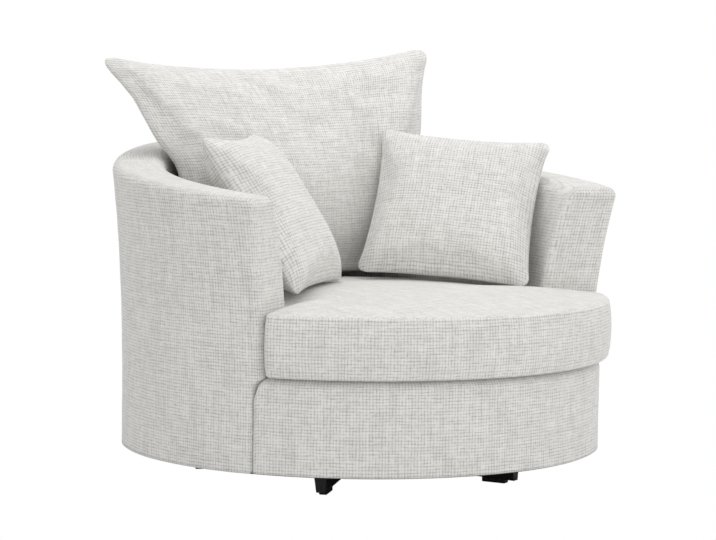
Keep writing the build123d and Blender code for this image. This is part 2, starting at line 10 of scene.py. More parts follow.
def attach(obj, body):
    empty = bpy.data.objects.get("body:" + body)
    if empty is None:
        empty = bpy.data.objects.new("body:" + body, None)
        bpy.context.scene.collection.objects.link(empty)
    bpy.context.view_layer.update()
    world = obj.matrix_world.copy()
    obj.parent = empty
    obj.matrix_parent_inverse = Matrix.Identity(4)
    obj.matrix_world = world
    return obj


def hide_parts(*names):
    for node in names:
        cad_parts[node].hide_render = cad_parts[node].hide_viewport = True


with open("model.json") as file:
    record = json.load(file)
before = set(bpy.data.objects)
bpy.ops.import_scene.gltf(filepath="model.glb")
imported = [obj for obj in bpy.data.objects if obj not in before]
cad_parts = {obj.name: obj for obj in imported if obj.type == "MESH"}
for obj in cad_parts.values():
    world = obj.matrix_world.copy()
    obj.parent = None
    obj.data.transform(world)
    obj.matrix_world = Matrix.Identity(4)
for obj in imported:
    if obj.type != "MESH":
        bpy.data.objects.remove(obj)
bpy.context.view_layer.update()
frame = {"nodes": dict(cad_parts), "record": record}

bl_info = {
    "name": "Round swivel armchair",
    "version": (1, 0, 0),
    "blender": (4, 5, 0),
    "location": "3D View > Sidebar > Armchair",
    "description": "Dresses the solids of a round swivel armchair with soft upholstery",
    "category": "Object",
}


# Sizes and colours that a user would change

class TubSizes(bpy.types.PropertyGroup):
    """Sizes of the upholstered tub."""
    radius: FloatProperty(
        name="Radius", description="Outside of the tub at its foot", default=0.560, unit="LENGTH")
    clearance: FloatProperty(
        name="Clearance", description="Floor to the underside", default=0.066, unit="LENGTH")
    deck: FloatProperty(
        name="Deck", description="Floor to the seat platform", default=0.277, unit="LENGTH")
    opening: FloatProperty(
        name="Opening", description="Straight ahead to an arm's end face",
        default=math.radians(60.5), subtype="ANGLE")
    arm_top: FloatProperty(
        name="Arm top", description="Top of the wall at the arm ends", default=0.674, unit="LENGTH")
    back_top: FloatProperty(
        name="Back top", description="Top of the wall at the back", default=0.768, unit="LENGTH")
    flare_start: FloatProperty(
        name="Flare start", description="Height where the wall leans out", default=0.220, unit="LENGTH")
    arm_flare: FloatProperty(
        name="Arm flare", description="Lean of the top at the arm ends", default=0.063, unit="LENGTH")
    back_flare: FloatProperty(
        name="Back flare", description="Lean of the top at the back", default=0.017, unit="LENGTH")
    wall_foot: FloatProperty(
        name="Wall at the deck", description="Wall thickness at the deck", default=0.145, unit="LENGTH")
    wall_top: FloatProperty(
        name="Wall at the top", description="Wall thickness at the top", default=0.121, unit="LENGTH")
    corner: FloatProperty(
        name="Corner", description="Rounding along the top of the wall", default=0.026, unit="LENGTH")
    seam_back: FloatProperty(
        name="Seam set-back", description="Seam of the front panel behind the arm's end face",
        default=0.024, unit="LENGTH")
    panel_corner: FloatProperty(
        name="Panel corner", description="Rounding of the front panel's top corners",
        default=0.038, unit="LENGTH")
    end_round: FloatProperty(
        name="End rounding", description="Rounding of the arm ends", default=0.018, unit="LENGTH")


class CushionSizes(bpy.types.PropertyGroup):
    """Sizes of the loose cushions."""
    seat_front: FloatProperty(
        name="Seat front", description="Radius of the round front", default=0.577, unit="LENGTH")
    seat_back: FloatProperty(
        name="Seat back", description="Radius inside the wall", default=0.411, unit="LENGTH")
    seat_edge: FloatProperty(
        name="Seat edge", description="Thickness round the edge", default=0.140, unit="LENGTH")
    seat_crown: FloatProperty(
        name="Seat crown", description="Rise of the top in the middle", default=0.0235, unit="LENGTH")
    back_rise: FloatProperty(
        name="Back corner", description="Height of the back cushion's corners", default=0.998, unit="LENGTH")
    scatter: FloatProperty(
        name="Scatter", description="Edge of a scatter cushion, corner to corner",
        default=0.414, unit="LENGTH")
    scatter_thick: FloatProperty(
        name="Scatter thickness", description="Thickness in the middle", default=0.125, unit="LENGTH")


class FabricLook(bpy.types.PropertyGroup):
    """Colours and weave of the fabric."""
    light: FloatVectorProperty(
        name="Light yarn", description="Colour of the pale yarns",
        default=(0.80, 0.795, 0.765), subtype="COLOR")
    dark: FloatVectorProperty(
        name="Dark yarn", description="Colour of the grey yarns",
        default=(0.47, 0.46, 0.44), subtype="COLOR")
    pitch: FloatProperty(
        name="Yarn pitch", description="Distance between yarns", default=0.0070, unit="LENGTH", precision=4)


def tub():
    """Sizes of the tub in this scene."""
    return bpy.context.scene.armchair_tub


def cushions():
    """Sizes of the cushions in this scene."""
    return bpy.context.scene.armchair_cushions


# Form of the tub's wall. A bearing is an angle about the upright axis from straight ahead, which is -Y.

ARM_RISE = 0.010      # top of the wall above its plain slope, between the arm ends and the back
END_DROP = 0.009      # top of the wall below its plain slope at the arm ends
LEAN_POWER = 2.2      # how the lean grows from the back to the arm ends


def around(bearing, radius, height):
    """Point at a bearing, a distance from the upright axis and a height."""
    return Vector((radius * math.sin(bearing), -radius * math.cos(bearing), height))


def bearing_of(point):
    """Bearing of a point, up to half a turn to either side."""
    return math.atan2(point.x, -point.y)


def reach_of(point):
    """Distance of a point from the upright axis."""
    return math.hypot(point.x, point.y)


def from_front(bearing):
    """Turn from straight ahead by the shorter way, for a bearing between nothing and a full turn."""
    return min(bearing, math.tau - bearing)


def wall_height(bearing):
    """Top of the wall at a bearing."""
    t = tub()
    start = -math.cos(t.opening)
    part = max(0.0, (-math.cos(bearing) - start) / (1 - start))
    slope = t.arm_top + (t.back_top - t.arm_top) * part * part
    return slope + ARM_RISE * math.sin(math.pi * part) - END_DROP * (1 - part) ** 6


def wall_lean(bearing, height, extra):
    """How far the wall leans out at a bearing and a height, with extra lean at its top."""
    t = tub()
    part = min(1.0, abs(math.pi - bearing) / (math.pi - t.opening))
    flare = t.back_flare + (t.arm_flare - t.back_flare) * part ** LEAN_POWER + extra
    rise = wall_height(bearing) - t.flare_start
    bend = (rise * rise + flare * flare) / (2 * flare)
    up = max(0.0, height - t.flare_start)
    return bend - math.sqrt(max(0.0, bend * bend - up * up))


def outer_radius(bearing, height):
    """Outside of the wall."""
    return tub().radius + wall_lean(bearing, height, 0)


def inner_radius(bearing, height):
    """Inside of the wall."""
    t = tub()
    return t.radius - t.wall_foot + wall_lean(bearing, height, t.wall_foot - t.wall_top)


# Mesh helpers

WELD = 1e-5           # points nearer than this are one point
SIDE_SPAN = 0.1       # rise from which a section's edge counts as one of its sides
END_SIDES = 20        # a turned piece's end face has more corners than this
WEAVE_MAP = "weave"   # UV map in metres that the fabric follows
FADE_IN = 3           # waves and folds reach their full depth a third of the way on


def finish_mesh(bm, name):
    """Turns a bmesh into a smooth-shaded object at the origin."""
    mesh = bpy.data.meshes.new(name)
    bm.to_mesh(mesh)
    bm.free()
    obj = bpy.data.objects.new(name, mesh)
    bpy.context.scene.collection.objects.link(obj)
    mesh.polygons.foreach_set("use_smooth", [True] * len(mesh.polygons))
    mesh.update()
    return obj


def draw_section(bm, bearing, inner, outer, bottom, top):
    """Draws an upright rectangle and gives its corners, from the inner foot by the outside to the inner top."""
    corners = ((inner, bottom), (outer, bottom), (outer, top), (inner, top))
    ring = [bm.verts.new(around(bearing, radius, height)) for radius, height in corners]
    bm.faces.new(ring)
    return ring


def round_off(bm, geom, size, segments, affect):
    """Rounds corners or edges."""
    bmesh.ops.bevel(bm, geom=geom, offset=size, segments=segments, profile=0.5, affect=affect, material=-1)


def turn_section(bm, angle, steps, side_cuts, level_cuts):
    """Turns a flat outline about the upright axis into a closed ring piece with two end faces."""
    bmesh.ops.delete(bm, geom=bm.faces[:], context="FACES_ONLY")
    rises = {e: abs((e.verts[0].co - e.verts[1].co).z) for e in bm.edges}
    sides = [e for e, rise in rises.items() if rise > SIDE_SPAN]
    level = [e for e, rise in rises.items() if rise < WELD]
    bmesh.ops.subdivide_edges(bm, edges=sides, cuts=side_cuts)
    bmesh.ops.subdivide_edges(bm, edges=level, cuts=level_cuts)
    bmesh.ops.spin(bm, geom=bm.edges[:] + bm.verts[:], cent=(0, 0, 0), axis=(0, 0, 1), dvec=(0, 0, 0),
                   angle=angle, steps=steps, use_duplicate=False)
    bmesh.ops.remove_doubles(bm, verts=bm.verts, dist=WELD)
    bmesh.ops.holes_fill(bm, edges=[e for e in bm.edges if e.is_boundary], sides=0)
    bmesh.ops.recalc_face_normals(bm, faces=bm.faces)


def end_faces(bm):
    """Many-cornered faces that close the ends of a turned piece."""
    return [f for f in bm.faces if len(f.verts) > END_SIDES]


def ripple(point, length, seed):
    """Smooth noise between -1 and 1, for waves of about a given length; the seed moves it elsewhere."""
    return noise.noise(point / length + Vector((seed, seed * 1.7, -seed)))


SWELL_FRAMES = 20
SWELL_CLOTH = {"quality": 5, "mass": 0.2, "tension_stiffness": 14, "compression_stiffness": 10,
               "shear_stiffness": 4, "bending_stiffness": 0.25}


def swell(obj, pressure, cap):
    """Runs cloth with air pressure on a closed soft piece and keeps the result, each point's move capped."""
    scene = bpy.context.scene
    rest = [v.co.copy() for v in obj.data.vertices]
    cloth = obj.modifiers.new("swell", "CLOTH")
    for setting, value in SWELL_CLOTH.items():
        setattr(cloth.settings, setting, value)
    cloth.settings.use_pressure = True
    cloth.settings.uniform_pressure_force = pressure
    cloth.settings.effector_weights.gravity = 0
    cloth.point_cache.frame_start = 1
    cloth.point_cache.frame_end = SWELL_FRAMES
    for number in range(1, SWELL_FRAMES + 1):
        scene.frame_set(number)
    blown = obj.evaluated_get(bpy.context.evaluated_depsgraph_get())
    moves = [new.co - old for old, new in zip(rest, blown.to_mesh().vertices)]
    blown.to_mesh_clear()
    obj.modifiers.remove(cloth)
    scene.frame_set(1)
    drift = sum(moves, Vector()) / len(moves)
    for vertex, old, move in zip(obj.data.vertices, rest, moves):
        move = move - drift
        if move.length > cap:
            move = move.normalized() * cap
        vertex.co = old + move
    obj.data.update()


def subdivide(obj):
    """One live subdivision, the same in the viewport and the render."""
    smooth = obj.modifiers.new("smooth", "SUBSURF")
    smooth.levels = 1
    smooth.render_levels = 1


# Materials

# Scales of the fabric's noise along and across a yarn, per metre
SWAY = (22.0, 60.0)       # slow wander of whole yarns
TWIST = (80.0, 210.0)     # light and dark of single yarns
SLUB = (14.0, 95.0)       # long thick places

SWAY_REACH = 0.7          # wander in yarn pitches
GAP_POWER = 1.6           # narrowness of the gaps between yarns, which hold painted shade
GAP_GAIN = 3.0            # how strongly a yarn's noise opens or closes the gap beside it
GAP_START = -0.9          # noise below which the gap is closed, as an offset after the gain
GAP_SHADE = 0.95          # painted shade: how much an open gap between yarns darkens the colour
TWIST_SHARE = 0.45        # what the twist adds to the tone, the rest being slubs
SLUB_SHARE = 0.55
MEAN_TONE = 0.92          # 0 is the dark yarn, 1 the light one
CONTRAST = 2.0
GAP_ROUGHNESS = 0.95
YARN_GLOSS = -0.08        # change of the roughness on a yarn
YARN_HEIGHT = 0.6         # share of the bump's height that a yarn stands above a gap
TWIST_HEIGHT = 0.8        # and that the twist adds


def set_inputs(node, values):
    """Gives sockets of a node their plain values, by name."""
    for name, value in values.items():
        node.inputs[name].default_value = value


def weave_group():
    """Shader group of a chunky flat weave: colour, roughness and height from the piece's UV map in metres. The
    colour has painted shade in the gaps between yarns.
    """
    group = bpy.data.node_groups.get("chunky weave")
    if group:
        return group
    group = bpy.data.node_groups.new("chunky weave", "ShaderNodeTree")
    for name, direction, kind in (("Light", "INPUT", "Color"), ("Dark", "INPUT", "Color"),
                                  ("Pitch", "INPUT", "Float"), ("Contrast", "INPUT", "Float"),
                                  ("Color", "OUTPUT", "Color"), ("Roughness", "OUTPUT", "Float"),
                                  ("Height", "OUTPUT", "Float")):
        group.interface.new_socket(name=name, in_out=direction, socket_type="NodeSocket" + kind)
    nodes, links = group.nodes, group.links
    start = nodes.new("NodeGroupInput")
    end = nodes.new("NodeGroupOutput")
    coords = nodes.new("ShaderNodeUVMap")
    coords.uv_map = WEAVE_MAP
    split = nodes.new("ShaderNodeSeparateXYZ")
    links.new(coords.outputs["UV"], split.inputs[0])

    def math_node(kind, *values):
        """Result of a math node on sockets and numbers."""
        node = nodes.new("ShaderNodeMath")
        node.operation = kind
        for socket, value in zip(node.inputs, values):
            if isinstance(value, (int, float)):
                socket.default_value = value
            else:
                links.new(value, socket)
        return node.outputs[0]

    def plus(a, b):
        return math_node("ADD", a, b)

    def minus(a, b):
        return math_node("SUBTRACT", a, b)

    def times(a, b):
        return math_node("MULTIPLY", a, b)

    def streak(along, across, scales, seed):
        """Noise drawn out along one yarn direction."""
        join = nodes.new("ShaderNodeCombineXYZ")
        links.new(times(along, scales[0]), join.inputs[0])
        links.new(times(across, scales[1]), join.inputs[1])
        join.inputs[2].default_value = seed
        cloud = nodes.new("ShaderNodeTexNoise")
        set_inputs(cloud, {"Scale": 1.0, "Detail": 1.0, "Roughness": 0.5})
        links.new(join.outputs[0], cloud.inputs["Vector"])
        return cloud.outputs["Fac"]

    u, v = split.outputs[0], split.outputs[1]
    twists, slubs, gaps = [], [], []
    for across, along, sway_seed, twist_seed, slub_seed in ((u, v, 12.3, 3.1, 5.5), (v, u, 15.1, 8.7, 1.9)):
        sway = times(streak(along, across, SWAY, sway_seed), SWAY_REACH)
        count = plus(math_node("DIVIDE", across, start.outputs["Pitch"]), sway)
        crest = math_node("ABSOLUTE", math_node("COSINE", times(count, math.pi)))
        twist = streak(along, across, TWIST, twist_seed)
        # painted shade: the gap between yarns opens where the twist noise is high
        gap_shade_mask = math_node("MAXIMUM", math_node("MULTIPLY_ADD", twist, GAP_GAIN, GAP_START), 0.0)
        gaps.append(times(math_node("POWER", minus(1.0, crest), GAP_POWER), gap_shade_mask))
        twists.append(twist)
        slubs.append(streak(along, across, SLUB, slub_seed))
    gap = plus(*gaps)
    twist = times(plus(*twists), 0.5)
    slub = times(plus(*slubs), 0.5)
    tone = plus(times(twist, TWIST_SHARE), times(slub, SLUB_SHARE))
    tone = plus(times(minus(tone, 0.5), start.outputs["Contrast"]), MEAN_TONE)
    # painted shade: the colour darkens towards the dark yarn in the gaps between yarns
    tone = minus(tone, times(gap, GAP_SHADE))
    yarn = minus(1.0, gap)
    blend = nodes.new("ShaderNodeMix")
    blend.data_type = "RGBA"
    blend.clamp_factor = True
    links.new(tone, blend.inputs["Factor"])
    links.new(start.outputs["Dark"], blend.inputs[6])
    links.new(start.outputs["Light"], blend.inputs[7])
    links.new(blend.outputs[2], end.inputs["Color"])
    links.new(plus(times(yarn, YARN_GLOSS), GAP_ROUGHNESS), end.inputs["Roughness"])
    links.new(plus(times(yarn, YARN_HEIGHT), times(twist, TWIST_HEIGHT)), end.inputs["Height"])
    return group


def new_material(name, color, rough, metal=0.0):
    """Principled material with plain values, and its nodes, links and shader."""
    mat = bpy.data.materials.new(name)
    mat.use_nodes = True
    shader = mat.node_tree.nodes["Principled BSDF"]
    set_inputs(shader, {"Base Color": (*color, 1), "Roughness": rough, "Metallic": metal})
    return mat, mat.node_tree.nodes, mat.node_tree.links, shader


def add_bump(nodes, links, shader, height, strength, distance):
    """Bump on a material's shader from a height socket."""
    bump = nodes.new("ShaderNodeBump")
    set_inputs(bump, {"Strength": strength, "Distance": distance})
    links.new(height, bump.inputs["Height"])
    links.new(bump.outputs["Normal"], shader.inputs["Normal"])


def chenille():
    """Pale grey chunky upholstery fabric."""
    mat = bpy.data.materials.get("pale grey chenille")
    if mat:
        return mat
    look = bpy.context.scene.armchair_fabric
    mat, nodes, links, shader = new_material("pale grey chenille", look.light, 0.9)
    set_inputs(shader, {"Specular IOR Level": 0.2, "Sheen Weight": 0.25, "Sheen Roughness": 0.5})
    weave = nodes.new("ShaderNodeGroup")
    weave.node_tree = weave_group()
    set_inputs(weave, {"Light": (*look.light, 1), "Dark": (*look.dark, 1),
                       "Pitch": look.pitch, "Contrast": CONTRAST})
    links.new(weave.outputs["Color"], shader.inputs["Base Color"])
    links.new(weave.outputs["Roughness"], shader.inputs["Roughness"])
    add_bump(nodes, links, shader, weave.outputs["Height"], strength=0.5, distance=0.0012)
    return mat


def speckle_material(name, low, high, rough, metal, scale, bump_size):
    """Plain material with a fine cloudy grain on Object coordinates."""
    mat, nodes, links, shader = new_material(name, low, rough, metal)
    place = nodes.new("ShaderNodeTexCoord")
    cloud = nodes.new("ShaderNodeTexNoise")
    set_inputs(cloud, {"Scale": scale, "Detail": 3.0})
    links.new(place.outputs["Object"], cloud.inputs["Vector"])
    blend = nodes.new("ShaderNodeMix")
    blend.data_type = "RGBA"
    blend.inputs[6].default_value = (*low, 1)
    blend.inputs[7].default_value = (*high, 1)
    links.new(cloud.outputs["Fac"], blend.inputs["Factor"])
    links.new(blend.outputs[2], shader.inputs["Base Color"])
    if bump_size:
        add_bump(nodes, links, shader, cloud.outputs["Fac"], strength=0.4, distance=bump_size)
    return mat


def dress(obj, *nodes):
    """Fabric of a finished soft piece, and the solids that it stands for."""
    obj.data.materials.append(chenille())
    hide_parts(*nodes)


# Arms and back

TURNED_TOP = 0.70       # top of the plain turned wall, before it gets its slope
RIM_ZONE = 0.08         # part below the top that keeps its section on the slope
FOOT_EDGE = 0.001       # edges of an end face nearer the foot than this stay sharp
END_INSET = 0.004       # band round the flat of an arm's end face
SEAM_EASE = 0.15        # angle over which the seam's set-back fades out
WALL_RIPPLES = ((0.0012, 0.16, 2.0), (0.0006, 0.05, 5.0))   # depth, length and seed
FACING_UP = 0.6         # a face counts as the wall's top when its normal rises more than this
FACING_IN = -0.4        # and as its inside when its normal points outwards less than this
INSIDE_REACH = 0.45     # radius that the grain of the inside is laid out on


def seam_set_back(height):
    """Angle by which the seam beside the front panel lies behind the arm's end face."""
    t = tub()
    up = height - (t.deck - t.panel_corner)
    bend = t.panel_corner - math.sqrt(max(0.0, t.panel_corner ** 2 - max(0.0, up) ** 2))
    return max(0.0, t.seam_back - bend) / t.radius


def shape_wall(bm):
    """Moves a plain turned wall to its lean, slope and thickness."""
    t = tub()
    inner_side = t.radius - t.wall_top
    middle = t.radius - t.wall_top / 2
    low = TURNED_TOP - RIM_ZONE
    for vert in bm.verts:
        bearing = bearing_of(vert.co) % math.tau
        radius = reach_of(vert.co)
        top = wall_height(bearing)
        if vert.co.z > low:
            height = top - (TURNED_TOP - vert.co.z)
        else:
            share = (vert.co.z - t.clearance) / (low - t.clearance)
            height = t.clearance + share * (top - RIM_ZONE - t.clearance)
        from_end = from_front(bearing) - t.opening
        if from_end < SEAM_EASE:
            shift = seam_set_back(height) * (1 - max(0.0, from_end) / SEAM_EASE)
            bearing += shift if bearing < math.pi else -shift
        outer = outer_radius(bearing, height)
        inner = inner_radius(bearing, height)
        if radius >= middle:
            place = outer - (t.radius - radius) * (outer - inner) / t.wall_top
        else:
            place = inner + (radius - inner_side) * (outer - inner) / t.wall_top
        spot = around(bearing, place, height)
        soft = sum(depth * ripple(spot, length, seed) for depth, length, seed in WALL_RIPPLES)
        vert.co = around(bearing, place + soft, height)


def wall_uv(bm):
    """Lays the cloth's grain round the outside and the end faces to the inside, and over the top."""
    t = tub()
    layer = bm.loops.layers.uv.new(WEAVE_MAP)
    bm.normal_update()
    for face in bm.faces:
        middle = face.calc_center_median()
        out = Vector((middle.x, middle.y, 0)).normalized()
        for loop in face.loops:
            co = loop.vert.co
            bearing = bearing_of(co) % math.tau
            turn = from_front(bearing)
            outer = outer_radius(bearing, co.z)
            deep = outer - reach_of(co)
            if face.normal.z > FACING_UP:
                loop[layer].uv = (turn * t.radius, co.z + deep)
            elif face.normal.dot(out) < FACING_IN:
                thick = outer - inner_radius(bearing, co.z)
                loop[layer].uv = (t.opening * t.radius - thick - (turn - t.opening) * INSIDE_REACH, co.z)
            else:
                loop[layer].uv = (turn * t.radius - deep, co.z)


class ARMCHAIR_OT_shell(bpy.types.Operator):
    """Curved wall of the arms and the back"""
    bl_idname = "armchair.shell"
    bl_label = "Arms and back"

    def execute(self, context):
        t = tub()
        bm = bmesh.new()
        ring = draw_section(bm, t.opening, t.radius - t.wall_top, t.radius, t.clearance, TURNED_TOP)
        round_off(bm, ring[2:], t.corner, segments=6, affect="VERTICES")
        turn_section(bm, 2 * (math.pi - t.opening), steps=88, side_cuts=62, level_cuts=6)
        ends = end_faces(bm)
        if len(ends) != 2:
            raise RuntimeError("the wall should have two end faces, not %d" % len(ends))
        foot = t.clearance + FOOT_EDGE
        rim = [e for f in ends for e in f.edges if (e.verts[0].co.z + e.verts[1].co.z) / 2 > foot]
        round_off(bm, rim, t.end_round, segments=5, affect="EDGES")
        shape_wall(bm)
        bmesh.ops.inset_individual(bm, faces=end_faces(bm), thickness=END_INSET, use_even_offset=True)
        bmesh.ops.triangulate(bm, faces=end_faces(bm))
        bmesh.ops.recalc_face_normals(bm, faces=bm.faces)
        wall_uv(bm)
        obj = finish_mesh(bm, "shell")
        dress(obj, "shell_cover", "shell_foam")
        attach(obj, "chair")
        return {"FINISHED"}


# Front panel

PANEL_THICK = 0.0265
PANEL_LIFT = 0.0015     # its foot above the foot of the wall
PANEL_GAP = 0.0006      # angle left free beside the seam
PANEL_ROLL = 0.022      # rounding of its top edge
PANEL_SKIN = 0.010      # points no deeper than this belong to the outer face
TUCK_DEPTH = 0.004      # outer face drawn in at the seam
TUCK_WIDTH = 0.016
PANEL_RIPPLE = (0.0012, 0.12, 4.0)   # depth, length and seed


class ARMCHAIR_OT_front_panel(bpy.types.Operator):
    """Padded panel under the seat, between the arm ends"""
    bl_idname = "armchair.front_panel"
    bl_label = "Front panel"

    def execute(self, context):
        t = tub()
        end = t.opening + t.seam_back / t.radius - PANEL_GAP
        bm = bmesh.new()
        ring = draw_section(bm, -end, t.radius - PANEL_THICK, t.radius, t.clearance + PANEL_LIFT, t.deck)
        round_off(bm, [ring[2]], PANEL_ROLL, segments=6, affect="VERTICES")
        turn_section(bm, 2 * end, steps=120, side_cuts=30, level_cuts=1)
        depth, length, seed = PANEL_RIPPLE
        for vert in bm.verts:
            bearing = bearing_of(vert.co)
            from_end = (end - abs(bearing)) * t.radius
            radius = reach_of(vert.co)
            height = vert.co.z
            if from_end < t.panel_corner:
                side = t.panel_corner - from_end
                drop = t.panel_corner - math.sqrt(max(0.0, t.panel_corner ** 2 - side ** 2))
                height -= drop * max(0.0, (height - t.clearance) / (t.deck - t.clearance))
            if radius > t.radius - PANEL_SKIN:
                edge = min(1.0, max(0.0, from_end) / TUCK_WIDTH)
                radius -= TUCK_DEPTH * (1 - edge) ** 2
                radius += depth * ripple(vert.co, length, seed)
            vert.co = around(bearing, radius, height)
        layer = bm.loops.layers.uv.new(WEAVE_MAP)
        for face in bm.faces:
            for loop in face.loops:
                co = loop.vert.co
                loop[layer].uv = (bearing_of(co) * t.radius, co.z + t.radius - reach_of(co))
        obj = finish_mesh(bm, "front_panel")
        dress(obj, "front_panel_cover", "front_panel_foam")
        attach(obj, "chair")
        return {"FINISHED"}


# Seat cushion

SEAT_GAP = 0.0006       # cushion above the deck
SEAT_PROUD = 0.006      # cushion past the radius of its front
EAR_GAP = 0.0075        # angle between an ear and the arm's end face
EAR_ROUND = 0.040       # rounding of the ears' front corners
FRONT_STEPS = 64
BACK_STEPS = 72
LONG_EDGE = 0.03        # edges of the outline longer than this are cut up
SEAT_MIDDLE = (0, -0.12, 0)   # where the rows of the skin run together
FLAT_INSET = 0.022      # flat top and underside inside the outline
EDGE_RISE = 0.016       # height of the rounded edge with its piping

# Inset from the outline and distance from the underside or the top, row by row
LOWER_EDGE = ((0.022, 0.0), (0.010, 0.001), (0.0035, 0.005),
              (0.0012, 0.011), (0.003, 0.013), (0.0005, 0.016))
UPPER_EDGE = ((0.0005, 0.016), (0.0025, 0.0125), (0.001, 0.010),
              (0.0045, 0.004), (0.012, 0.001), (0.022, 0.0))
BAND_BULGE = 0.0035     # bulge of the band between the two edges
BAND_ROWS = 9
UNDER_ROWS = 14
TOP_ROWS = 26
CROWN_POWER = 3.0       # the higher, the nearer to the edge the top reaches its crown
SEAT_RIPPLE = (0.003, 0.16, 7.0)   # depth, length and seed
UNDER_SEAM = 0.0028     # the grain lies flat below this
TOP_SEAM = 0.0026       # and higher than this below the edge of the top


def seat_rows(edge):
    """Rows of the seat cushion's skin: inset, share of the way to the middle, and height."""
    rows = [(FLAT_INSET, 1 - step / UNDER_ROWS, 0.0) for step in range(1, UNDER_ROWS)]
    rows += [(inset, 0.0, rise) for inset, rise in LOWER_EDGE]
    band = edge - 2 * EDGE_RISE
    rows += [(-BAND_BULGE * math.sin(math.pi * k / BAND_ROWS), 0.0, EDGE_RISE + band * k / BAND_ROWS)
             for k in range(1, BAND_ROWS)]
    rows += [(inset, 0.0, edge - drop) for inset, drop in UPPER_EDGE]
    rows += [(FLAT_INSET, step / TOP_ROWS, edge) for step in range(1, TOP_ROWS)]
    return rows


class ARMCHAIR_OT_seat_cushion(bpy.types.Operator):
    """Round seat cushion with ears before the arm ends"""
    bl_idname = "armchair.seat_cushion"
    bl_label = "Seat cushion"

    def execute(self, context):
        t = tub()
        c = cushions()
        bottom = t.deck + SEAT_GAP
        ear = t.opening - EAR_GAP
        front = c.seat_front + SEAT_PROUD
        bm = bmesh.new()
        outline = [bm.verts.new(around(ear - 2 * ear * i / FRONT_STEPS, front, bottom))
                   for i in range(FRONT_STEPS + 1)]
        outline += [bm.verts.new(around(-ear - (2 * math.pi - 2 * ear) * i / BACK_STEPS, c.seat_back, bottom))
                    for i in range(BACK_STEPS + 1)]
        bm.faces.new(outline)
        round_off(bm, [outline[0], outline[FRONT_STEPS]], EAR_ROUND, segments=8, affect="VERTICES")
        bmesh.ops.delete(bm, geom=bm.faces[:], context="FACES_ONLY")
        longer = [e for e in bm.edges if e.calc_length() > LONG_EDGE]
        bmesh.ops.subdivide_edges(bm, edges=longer, cuts=8)
        rows = seat_rows(c.seat_edge)
        ring = bm.edges[:]
        order = [bm.verts[:]]
        for _ in rows[1:]:
            made = bmesh.ops.extrude_edge_only(bm, edges=ring)["geom"]
            ring = [g for g in made if isinstance(g, bmesh.types.BMEdge) and g.is_boundary]
            order.append([g for g in made if isinstance(g, bmesh.types.BMVert)])
        middle = Vector(SEAT_MIDDLE)
        half = c.seat_edge / 2
        depth, length, seed = SEAT_RIPPLE
        for (inset, share, height), verts in zip(rows, order):
            for vert in verts:
                away = Vector((vert.co.x, vert.co.y, 0)) - middle
                place = middle + away * (1 - inset / away.length) * (1 - share)
                crown = 0.0
                if height > half:
                    crown = c.seat_crown * (1 - (1 - share) ** CROWN_POWER) * ((height - half) / half) ** 2
                    crown += depth * ripple(place, length, seed) * min(1.0, share * FADE_IN)
                vert.co = Vector((place.x, place.y, bottom + height + crown))
        bmesh.ops.holes_fill(bm, edges=[e for e in bm.edges if e.is_boundary], sides=0)
        bmesh.ops.recalc_face_normals(bm, faces=bm.faces)
        bm.normal_update()
        layer = bm.loops.layers.uv.new(WEAVE_MAP)
        for face in bm.faces:
            level = face.calc_center_median().z - bottom
            flat = level < UNDER_SEAM or level > c.seat_edge - TOP_SEAM
            for loop in face.loops:
                co = loop.vert.co
                loop[layer].uv = (co.x, co.y) if flat else (bearing_of(co) * front, co.z)
        obj = finish_mesh(bm, "seat_cushion")
        subdivide(obj)
        dress(obj, "seat_cushion_cover", "seat_cushion_core")
        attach(obj, "seat_cushion")
        return {"FINISHED"}


# Loose cushions sewn from two sheets

SHEET_SHIFT = 3.0       # the back sheet's grain lies this far from the front sheet's
LENS_POWER = 2.6        # how full a cushion stays towards its edges
RIM_EASE = 0.004        # height above the wall's top from which a cushion may lean out over it
RIM_SLOPE = 2           # and how much it may for each metre more


def blunt(u, v, size):
    """Rounds the four corners of the square that a pillow is drawn on."""
    a = max(0.0, (abs(u) - 1 + size) / size)
    b = max(0.0, (abs(v) - 1 + size) / size)
    if a and b:
        u = math.copysign(1 - size + size * a * math.sqrt(1 - b * b / 2), u)
        v = math.copysign(1 - size + size * b * math.sqrt(1 - a * a / 2), v)
    return u, v


def pillow_mesh(name, columns, rows, place):
    """Two grids sewn along their edges; place(u, v, side) gives each point's place and its UV."""
    bm = bmesh.new()
    layer = bm.loops.layers.uv.new(WEAVE_MAP)
    bmesh.ops.create_grid(bm, x_segments=columns, y_segments=rows, size=1.0)
    copy = bmesh.ops.duplicate(bm, geom=bm.verts[:] + bm.edges[:] + bm.faces[:])["geom"]
    bmesh.ops.reverse_faces(bm, faces=[g for g in copy if isinstance(g, bmesh.types.BMFace)])
    back = set(g for g in copy if isinstance(g, bmesh.types.BMVert))
    for vert in bm.verts:
        side = -1 if vert in back else 1
        spot, flat = place(vert.co.x, vert.co.y, side)
        for loop in vert.link_loops:
            loop[layer].uv = (flat[0] + (SHEET_SHIFT if side < 0 else 0.0), flat[1])
        vert.co = spot
    bmesh.ops.remove_doubles(bm, verts=bm.verts, dist=WELD)
    bmesh.ops.recalc_face_normals(bm, faces=bm.faces)
    return finish_mesh(bm, name)


def keep_inside_wall(obj, gap):
    """Presses a cushion's points back from the inside of the wall, easing off above the rim."""
    t = tub()
    for vert in obj.data.vertices:
        bearing = bearing_of(vert.co) % math.tau
        if from_front(bearing) < t.opening:
            continue
        top = wall_height(bearing)
        room = inner_radius(bearing, min(vert.co.z, top)) - gap
        room += max(0.0, vert.co.z - top - RIM_EASE) * RIM_SLOPE
        radius = reach_of(vert.co)
        if radius > room:
            vert.co.x *= room / radius
            vert.co.y *= room / radius
    obj.data.update()


